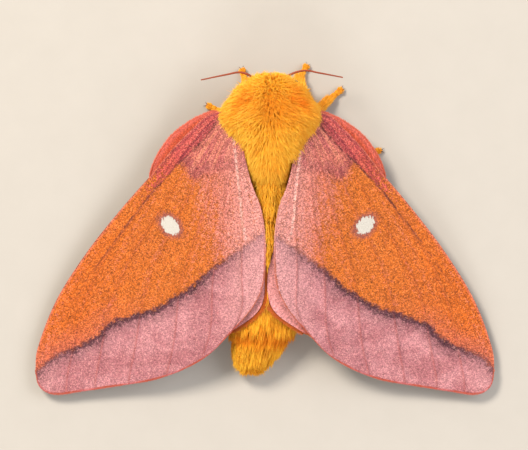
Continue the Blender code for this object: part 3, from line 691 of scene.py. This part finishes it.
def fur_on_form(
    name, stations, count, span, depth, reach, tip_lift, width, rng, material, clump=220, curl=0.12,
    spread=0.0, rings=4, shade=None, keep=None, rise=None, blunt=0.3, pull=0.4, together=0.0, avoid=(),
):
    """Fur over a body form, gathered in tufts: each strand leaves the skin and bends over along the lie. The
    tips stand off the form by a draw within tip_lift, and by rise where that is given."""
    sections = form_sections(stations)
    back = rng.uniform(span[0], span[1], count * 2) * MM
    size = np.interp(back, sections[:, 0], sections[:, 1] + sections[:, 2])
    back = back[rng.uniform(0, size.max(), len(back)) < size][:count]
    angle = rng.uniform(0, TURN, len(back))
    if keep is not None:
        kept = keep(back / MM, angle, rng)
        back, angle = back[kept], angle[kept]
    share = np.linspace(0, 1, rings)
    toward = reach(back / MM, rng)[:, None] * MM * rng.uniform(0.75, 1.2, (len(back), 1))
    tip = rng.uniform(*tip_lift, len(back)) + (rise(back / MM, angle) if rise else 0.0)
    tip = tip[:, None] * MM
    lift = -depth + (tip + depth) * share[None] ** 0.6
    sway = spread * np.cos(angle)[:, None] * np.sin(angle)[:, None] * share[None]
    ahead = toward * share[None] ** 1.35
    measured = back[:, None] + (1 - blunt) * ahead
    paths = form_point(sections, back[:, None] + ahead, angle[:, None] - sway, lift, measured)
    centres = rng.integers(0, len(back), clump)
    roots = KDTree(clump)
    for number, centre in enumerate(centres):
        roots.insert(paths[centre, 0], number)
    roots.balance()
    nearest = centres[[roots.find(point)[1] for point in paths[:, 0]]]
    pull = (pull * share**1.5)[None, :, None]
    paths = paths * (1 - pull) + (paths[nearest] + 0.25 * (paths - paths[nearest])) * pull
    wave = np.sin(share[None, :, None] * math.pi * rng.uniform(0.6, 1.6, (len(back), 1, 1)))
    paths = paths + wave * rng.normal(0, curl * MM, (len(back), 1, 3)) * share[None, :, None]
    paths = clear_wings(paths)
    for centre, radius in avoid:
        clear = np.linalg.norm(paths[:, 1:] - centre, axis=2).min(axis=1) > radius
        nearest = (np.cumsum(clear) - 1)[nearest[clear]]
        paths, back, angle = paths[clear], back[clear], angle[clear]
    low, high = sections[0, 0], sections[-1, 0]
    uv = np.stack([angle / TURN % 1.0, (back - low) / (high - low)], axis=-1)
    dark = np.zeros(len(back)) if shade is None else shade(paths[:, 0])
    size = width * MM * rng.uniform(0.7, 1.3, len(back))
    tone = rng.uniform(0, 1, len(back))
    tone = (1 - together) * tone + together * tone[nearest]
    return strands(name, paths, size, material, uv, tone, dark)


def body_skin(material):
    """One skin for head, thorax and abdomen: at each step back an oval about the widest of the three forms,
    with smooth joins, as deep as the coat is long."""
    rows, columns = 150, 96
    back = np.linspace(-13.0, 12.5, rows) * MM
    bulk = []
    for stations, depth in ((HEAD, HEAD_DEPTH), (THORAX, THORAX_DEPTH), (ABDOMEN, ABDOMEN_DEPTH)):
        sections = form_sections(stations)
        wide, high, up, shift = (np.interp(back, sections[:, 0], column) for column in sections.T[1:])
        inside = (back > sections[0, 0]) & (back < sections[-1, 0])
        bulk.append([np.where(inside, np.maximum(wide - depth, 0.02 * MM), 1e-6),
                     np.where(inside, np.maximum(high - depth, 0.02 * MM), 1e-6), up, shift])
    wide, high, up, shift = np.array(bulk).transpose(1, 0, 2)
    weight = wide**6 / (wide**6).sum(0)
    wide, high = ((size**6).sum(0) ** (1 / 6) for size in (wide, high))
    up, shift = (up * weight).sum(0), (shift * weight).sum(0)
    kernel = np.hanning(13) / np.hanning(13).sum()
    up, shift, wide, high = (
        np.convolve(np.pad(line, 6, mode="edge"), kernel, mode="valid") for line in (up, shift, wide, high)
    )
    wide[[0, -1]] = high[[0, -1]] = 0.01 * MM
    angle = np.linspace(0, TURN, columns, endpoint=False)[None]
    out, z = shift[:, None] + wide[:, None] * np.cos(angle), up[:, None] + high[:, None] * np.sin(angle)
    points = place(out, back[:, None] + 0 * out, np.maximum(z, 0.02 * MM))
    return new_mesh("body_skin", points, grid_faces(rows, columns, closed=True), material)


def directions(line):
    """At each point of a line, the unit direction along it and two that are square to it."""
    run = np.gradient(line, axis=0)
    run /= np.linalg.norm(run, axis=1, keepdims=True)
    aside = np.cross(run, [0.05, 0.1, 1.0])
    aside /= np.linalg.norm(aside, axis=1, keepdims=True)
    return run, aside, np.cross(run, aside)


def round_rod(line, radii, sides):
    """Points and faces of a rod along a line of points, each ring square to it."""
    _, aside, third = directions(line)
    turn = np.linspace(0, TURN, sides, endpoint=False)[None, :, None]
    ring = aside[:, None] * np.cos(turn) + third[:, None] * np.sin(turn)
    return line[:, None] + ring * np.asarray(radii)[:, None, None], grid_faces(len(line), sides, closed=True)


def antenna(name, side, knots, material):
    """A bare feeler of about forty short joints, each a little wider at its end."""
    out, back, up = smooth_line(np.array(knots) * MM, 241).T
    along = np.linspace(0, 1, 241)
    joint = 0.009 * MM * (0.5 - np.cos(TURN * 40 * along)) * (1 - 0.6 * along)
    radii = (0.115 - 0.06 * along**0.8) * MM + joint
    radii[[0, -1]] = 0.005 * MM
    points, faces = round_rod(place(out, back, up, side), radii, 12)
    return new_mesh(name, points, faces, material)


def leg(name, knots, skin, fur, rng):
    """A furred leg: thigh, shin and a foot of five small joints with its two claws, under short hair."""
    side = SIDES[name.split("_")[1]]
    root, knee, ankle, toe = np.array(knots) * MM
    heel = ankle * [1, 1, 0] + [0, 0, toe[2] + 0.12 * MM]
    foot = smooth_line([ankle, 0.55 * heel + 0.45 * toe, toe], 61)
    line = np.vstack([np.linspace(root, knee, 40)[:-1], np.linspace(knee, ankle, 40)[:-1], foot])
    for _ in range(4):
        line[1:-1] = (line[:-2] + 2 * line[1:-1] + line[2:]) / 4
    share = np.linspace(0, 1, 39, endpoint=False)
    thigh = 0.27 + 0.12 * np.sin(math.pi * share)
    shin = 0.2 + 0.09 * np.sin(math.pi * share)
    joints = 0.17 + 0.05 * np.cos(TURN * 5 * np.linspace(0, 1, 61))
    joints[-8:] *= np.linspace(1.0, 0.3, 8)
    radii = np.concatenate([thigh, shin, joints]) * MM
    points, faces = round_rod(place(line[:, 0], line[:, 1], line[:, 2], side), radii, 14)
    points[..., 2] = np.maximum(points[..., 2], 0.0)
    skin_piece = new_mesh(name + "_skin", points, faces, skin)

    count = 1300
    where = rng.uniform(0.12, 0.97, count) * (len(line) - 1)
    step = where.astype(int)
    centre = place(line[:, 0], line[:, 1], line[:, 2], side)
    run, aside, third = directions(centre)
    turn = rng.uniform(0, TURN, count)
    away = aside[step] * np.cos(turn)[:, None] + third[step] * np.sin(turn)[:, None]
    on_foot, on_toe = ease(78, 90, where), ease(112, 130, where)
    long = (0.75 - 0.45 * on_foot - 0.1 * on_toe) * MM * rng.uniform(0.7, 1.3, count)
    stand = (0.3 - 0.2 * on_foot + 0.08 * on_toe) * MM * rng.uniform(0.5, 1.2, count)
    share = np.linspace(0, 1, 4)[None, :, None]
    start = centre[step] + away * radii[step][:, None] * 0.8
    paths = start[:, None] + run[step][:, None] * long[:, None, None] * share**1.3
    paths = paths + away[:, None] * stand[:, None, None] * share**0.7
    paths[..., 2] = np.maximum(paths[..., 2], LOWEST)
    paths = clear_wings(paths)
    uv = np.stack([turn / TURN, where / len(line)], axis=-1)
    tone = rng.uniform(0, 1, count)
    hair = strands(name + "_fur", paths, np.full(count, 0.085 * MM), fur, uv, tone, 0 * tone)
    return [skin_piece, *hair]


def claws(name, knots, material):
    """The two small hooked claws at a leg's toe."""
    side = SIDES[name.split("_")[1]]
    ankle, toe = np.array(knots[2]) * MM, np.array(knots[3]) * MM
    ahead = (toe - ankle) * [1, 1, 0]
    ahead /= np.linalg.norm(ahead)
    across = np.array([-ahead[1], ahead[0], 0])
    points, faces = [], []
    for sign in (-1, 1):
        share = np.linspace(0, 1, 9)[:, None]
        line = toe - ahead * 0.1 * MM + across * sign * (0.06 + 0.14 * share) * MM + ahead * 0.3 * MM * share
        line = line + np.array([0, 0, 1]) * (0.05 - 0.33 * share**2) * MM
        line = place(line[:, 0], line[:, 1], np.maximum(line[:, 2], LOWEST), side)
        rod, quads = round_rod(line, np.linspace(0.045, 0.008, 9) * MM, 6)
        faces.append(quads + sum(len(p) for p in points))
        points.append(rod.reshape(-1, 3))
    return new_mesh(name + "_claws", np.concatenate(points), np.concatenate(faces), material)


def wing_fringe(name, side, outline, reach, veins, drop, border, span, count, long, material, rng):
    """A fine fringe of hair scales along the wing's front, outer or inner border."""
    out, back, *_ = wing_sheet(outline, reach, veins, 160, 160)
    sheet = np.stack([out, back], axis=-1)
    borders = {"front": (sheet[:, 0], sheet[:, 5]), "outer": (sheet[-1], sheet[-6])}
    borders["inner"] = (sheet[:, -1], sheet[:, -6])
    edge, inner = borders[border]
    spot = rng.uniform(span[0], span[1], count) * (len(edge) - 1)
    step, part = spot.astype(int), (spot % 1)[:, None]
    root = edge[step] * (1 - part) + edge[np.minimum(step + 1, len(edge) - 1)] * part
    away = edge[step] - inner[step]
    away /= np.maximum(np.linalg.norm(away, axis=1, keepdims=True), 1e-9)
    away = away + rng.normal(0, 0.25, (count, 2))
    share = np.linspace(0, 1, 3)[None, :, None]
    size = long * MM * rng.uniform(0.6, 1.25, count)[:, None, None]
    plan = root[:, None] - away[:, None] * FRINGE_ROOT * MM + away[:, None] * size * share
    z = roof_height(plan[..., 0], plan[..., 1]) - drop + rng.uniform(-0.04, 0.06, count)[:, None] * MM
    if border == "inner" and drop:
        z = z + CURL * share[..., 0]
    paths = place(plan[..., 0], plan[..., 1], np.maximum(z, 0.05 * MM), side)
    uv = np.stack([spot / len(edge), rng.uniform(0, 0.1, count)], axis=-1)
    tufts = rng.uniform(0, 1, 70)[(spot / len(edge) * 70).astype(int)]
    tone = 0.35 * rng.uniform(0, 1, count) + 0.65 * tufts
    ruddy = 0.75 * ease(0.5, 0.75, spot / len(edge)) if border == "inner" else 0 * tone
    return strands(name, paths, np.full(count, FRINGE_WIDTH), material, uv, tone, ruddy)


# Camera, light and the whole moth


def camera():
    """A long lens high over the moth, with the photograph's framing."""
    data = bpy.data.cameras.new("camera")
    made = bpy.data.objects.new("camera", data)
    bpy.context.scene.collection.objects.link(made)
    centre = (IMAGE[0] / 2 - MIDLINE_PIXEL[0], IMAGE[1] / 2 - MIDLINE_PIXEL[1])
    made.location = (-centre[0] * MM_PER_PIXEL * MM, centre[1] * MM_PER_PIXEL * MM, CAMERA_HEIGHT)
    made.rotation_euler = (0, 0, math.pi)
    data.sensor_width = 36.0
    data.lens = 36.0 * (CAMERA_HEIGHT - FOCUS_HEIGHT) / (IMAGE[0] * MM_PER_PIXEL * MM)
    data.clip_start, data.clip_end = 0.01, 10.0
    bpy.context.scene.camera = made


def light(name, place_at, size, watts, tint):
    """A soft square light aimed at the moth."""
    data = bpy.data.lights.new(name, "AREA")
    data.size, data.energy, data.color = size, watts, colour(tint)[:3]
    made = bpy.data.objects.new(name, data)
    bpy.context.scene.collection.objects.link(made)
    made.location = place_at
    x, y, z = place_at
    made.rotation_euler = (math.atan2(math.hypot(x, y), z - FOCUS_HEIGHT), 0, math.atan2(y, x) + math.pi / 2)


def surroundings():
    """A plain pale floor, an even sky and soft lights, the main one from the photo's upper left."""
    made, tree, shader, _ = new_material("pale_floor")
    tree.links.new(add(tree, BLEND, grain(tree, 3.0, 4.0), "#B4AEA5", "#BAB4AB"), shader.inputs["Base Color"])
    shader.inputs["Roughness"].default_value = 0.9
    size = 0.6
    floor = new_mesh("floor", [(-size, -size, 0), (size, -size, 0), (size, size, 0), (-size, size, 0)],
                     [(0, 1, 2, 3)], made, smooth=False)
    world = bpy.data.worlds.new("even_sky")
    bpy.context.scene.world = world
    world.use_nodes = True
    world.node_tree.nodes["Background"].inputs["Color"].default_value = colour("#F4F2EE")
    world.node_tree.nodes["Background"].inputs["Strength"].default_value = 0.56
    light("key", (0.14, -0.16, 0.3), 0.1, 1.42, "#FFF6EA")
    light("fill", (-0.2, -0.05, 0.22), 0.2, 0.45, "#F4F6FF")
    light("back", (0.03, 0.25, 0.2), 0.15, 0.3, "#FFFFFF")
    bpy.context.scene.view_settings.view_transform = "Standard"


def build():
    """All pieces of the moth on the frame's one body."""
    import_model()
    rng = np.random.default_rng(7)
    gold = fur_material("golden_fur", "#F08C0C", "#FFBC22", "#FFD250")
    # The tail fur's dark root and strong contrast are partly painted shade in the gaps between its tufts
    tail_gold = fur_material("tail_fur", "#BE5E02", "#FFB41C", "#FFCC40", "#E8820E", 0.7)
    leg_gold = fur_material("leg_fur", "#E0860E", "#FCAA1E", "#FFC044")
    rust_fringe = fur_material("rust_fringe_scales", "#B04C40", "#BE5E56", "#CC8480")
    red_fringe = fur_material("red_fringe_scales", "#C0503C", "#D4644E", "#DE7A66")
    pale_fringe = fur_material("pale_fringe_scales", "#CC8480", "#D8968E", "#E0A89E", "#B8583C")
    orange_fringe = fur_material("orange_fringe_scales", "#B8522C", "#E07A3C", "#F09A50", "#D0642C", 0.7)
    body = skin_material("body_under_fur", "#E08A14", "#F6A024", 0.4)
    leg_skin = skin_material("leg_scales", "#C8700F", "#EE9A25", 0.12)
    feeler = horn_material("feeler_horn", "#7A2E10", "#A8481A", 0.5)
    claw = horn_material("claw_horn", "#2A1208", "#5A2A12", 0.3)
    fore, hind, eye = forewing_material(), hindwing_material(), eye_material()

    def own(pieces, *nodes, slot):
        """Each piece rides on the one body, and the first replaces the nodes that are named; the slot is not
        used.
        """
        pieces = pieces if isinstance(pieces, list) else [pieces]
        for piece in pieces:
            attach(piece, "root")
        if nodes:
            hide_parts(*nodes)

    fringes = (  # name, wing, border, the part of it, number, length in millimetres
        ("forewing_fringe_", "forewing", "outer", (0, 1), 3200, 0.15, rust_fringe),
        ("inner_fringe_", "forewing", "inner", (0.3, 1), 1200, 0.16, pale_fringe),
        ("hindwing_fringe_", "hindwing", "outer", (0.3, 1), 1600, 0.4, orange_fringe),
        ("hindwing_inner_fringe_", "hindwing", "inner", (0.5, 1), 1700, 0.5, orange_fringe),
        ("shoulder_fringe_", "hindwing", "front", (0.08, 0.6), 1800, 0.22, red_fringe),
    )
    eyes = []
    for name, side in SIDES.items():
        wings = {
            "forewing": (side, FOREWING, FOREWING_REACH[name], FOREWING_VEINS, 0.0),
            "hindwing": (side, HINDWING, HINDWING_REACH[name], HINDWING_VEINS, WING_STACK),
        }
        piece = wing("forewing_sheet_" + name, *wings["forewing"], 150, 190, fore, forewing_marks)
        own(piece, "forewing_" + name, slot="forewing")
        piece = wing("hindwing_sheet_" + name, *wings["hindwing"], 110, 120, hind, hindwing_marks)
        own(piece, "hindwing_" + name, slot="hindwing")
        for label, kind, *scales_along in fringes:
            own(wing_fringe(label + name, *wings[kind], *scales_along, rng), slot=kind)
        own(antenna("feeler_" + name, side, ANTENNAE[name], feeler), "antenna_" + name, slot="antenna")
        node = bpy.data.objects["eye_" + name]
        node.data.materials.clear()
        node.data.materials.append(eye)
        surface = np.array([node.matrix_world @ vertex.co for vertex in node.data.vertices])
        middle = (surface.min(axis=0) + surface.max(axis=0)) / 2
        eyes.append((middle, np.linalg.norm(surface - middle, axis=1).max()))

    own(body_skin(body), "thorax", "head", "abdomen", slot="fur")

    def parting(aside, back):
        """1 along the two partings of the coat beside the crown."""
        off = aside - 1.5 - 0.47 * (back + 11.0)
        return np.exp(-((off / 0.35) ** 2) - ((back + 10.9) / 1.1) ** 2)

    def thorax_shade(root):
        """Darker in the cap over the head and along the partings."""
        x, y = (root[:, 0] - MIDLINE_X) / MM, (root[:, 1] - MIDDLE_Y) / MM
        cap = 0.55 * np.exp(-(((x + 0.3) / 2.3) ** 2) - ((y + 10.5) / 1.25) ** 2)
        return np.maximum(cap, parting(np.abs(x + 0.3), y))

    def thorax_rise(back, angle):
        """The partings lie deeper than the coat about them."""
        return -0.4 * (parting(4.0 * np.abs(np.cos(angle)), back) * (np.sin(angle) > 0))

    def thorax_reach(back, draw):
        """Forward over the head, backward elsewhere, and longer towards the rear."""
        forward = draw.uniform(-13.0, -10.9, len(back)) > back
        return np.where(forward, -0.35, 0.5 + 0.65 * ease(-10.5, -6.5, back))

    def head_reach(back, draw):
        """Forward at the front of the head, backward elsewhere."""
        return np.where(draw.uniform(-13.0, -11.6, len(back)) > back, -0.3, 0.7)

    def tail_tiers(back, angle):
        """Tips raised along the midline between the wings, then in two tiers at the tail."""
        ridge = np.exp(-((np.cos(angle) / 0.17) ** 2)) * (np.sin(angle) > 0) * ease(7.0, 5.0, back)
        upper = 0.12 * ease(7.2, 8.4, back) * ease(8.9, 8.7, back)
        return ridge + upper - 0.25 * ease(8.7, 8.9, back) * ease(10.2, 9.2, back)

    def tail_shade(root):
        """Darker under the step between the two tiers."""
        back = (root[:, 1] - MIDDLE_Y) / MM
        return 0.85 * ease(8.3, 8.8, back) * ease(10.1, 9.2, back)

    def seen_abdomen(back, angle, draw):
        """All the hair that shows, and a third of what the wings cover."""
        covered = (np.abs(np.cos(angle)) > 0.55) | (np.sin(angle) < 0)
        return ~covered | (back > 6.5) | (draw.uniform(0, 1, len(back)) < 0.35)

    own(fur_on_form(
        "thorax_fur", THORAX, 39000, (-12.95, -3.9), THORAX_DEPTH, thorax_reach, (-0.3, 0.2), 0.08, rng, gold,
        clump=5200, curl=0.17, spread=0.8, shade=thorax_shade, rise=thorax_rise, blunt=0.45, pull=0.16,
    ), slot="fur")
    own(fur_on_form(
        "crown_fur", THORAX, 3200, (-12.9, -10.6), THORAX_DEPTH,
        lambda back, draw: draw.uniform(-0.35, 0.45, len(back)), (-0.45, -0.1), 0.085, rng, gold,
        clump=600, curl=0.2, shade=thorax_shade, pull=0.1,
    ), slot="fur")
    own(fur_on_form(
        "head_fur", HEAD, 6000, (-13.1, -10.2), HEAD_DEPTH, head_reach, (-0.25, 0.05), 0.075, rng, gold,
        clump=400, curl=0.16, pull=0.3, avoid=eyes,
    ), slot="fur")
    own(fur_on_form(
        "abdomen_fur", ABDOMEN, 15000, (-4.6, 7.6), ABDOMEN_DEPTH, lambda back, draw: 1.2 + 0 * back,
        (-0.3, 0.1), 0.09, rng, gold, clump=1200, curl=0.2, pull=0.3, keep=seen_abdomen, rise=tail_tiers,
    ), slot="fur")
    own(fur_on_form(
        "tail_tip_fur", ABDOMEN, 1800, (12.2, 12.75), 1.15 * MM, lambda back, draw: 0.55 + 0 * back,
        (-1.15, 0.0), 0.09, rng, tail_gold, clump=90, curl=0.12, blunt=1.0, pull=0.5,
    ), slot="fur")
    # Whole tufts share their tone, so the darker tufts stand partly for painted shade between them
    own(fur_on_form(
        "tail_fur", ABDOMEN, 10500, (6.6, 12.6), ABDOMEN_DEPTH,
        lambda back, draw: 1.6 - 1.15 * ease(10.6, 12.6, back), (-0.45, 0.05), 0.09, rng, tail_gold,
        clump=520, curl=0.12, blunt=0.4, pull=0.7, shade=tail_shade, rise=tail_tiers, together=0.75,
    ), slot="fur")
    for name, knots in LEGS.items():
        own(leg(name, knots, leg_skin, leg_gold, rng), name, slot="leg")
        own(claws(name, knots, claw), slot="leg")

    camera()
    surroundings()


build()
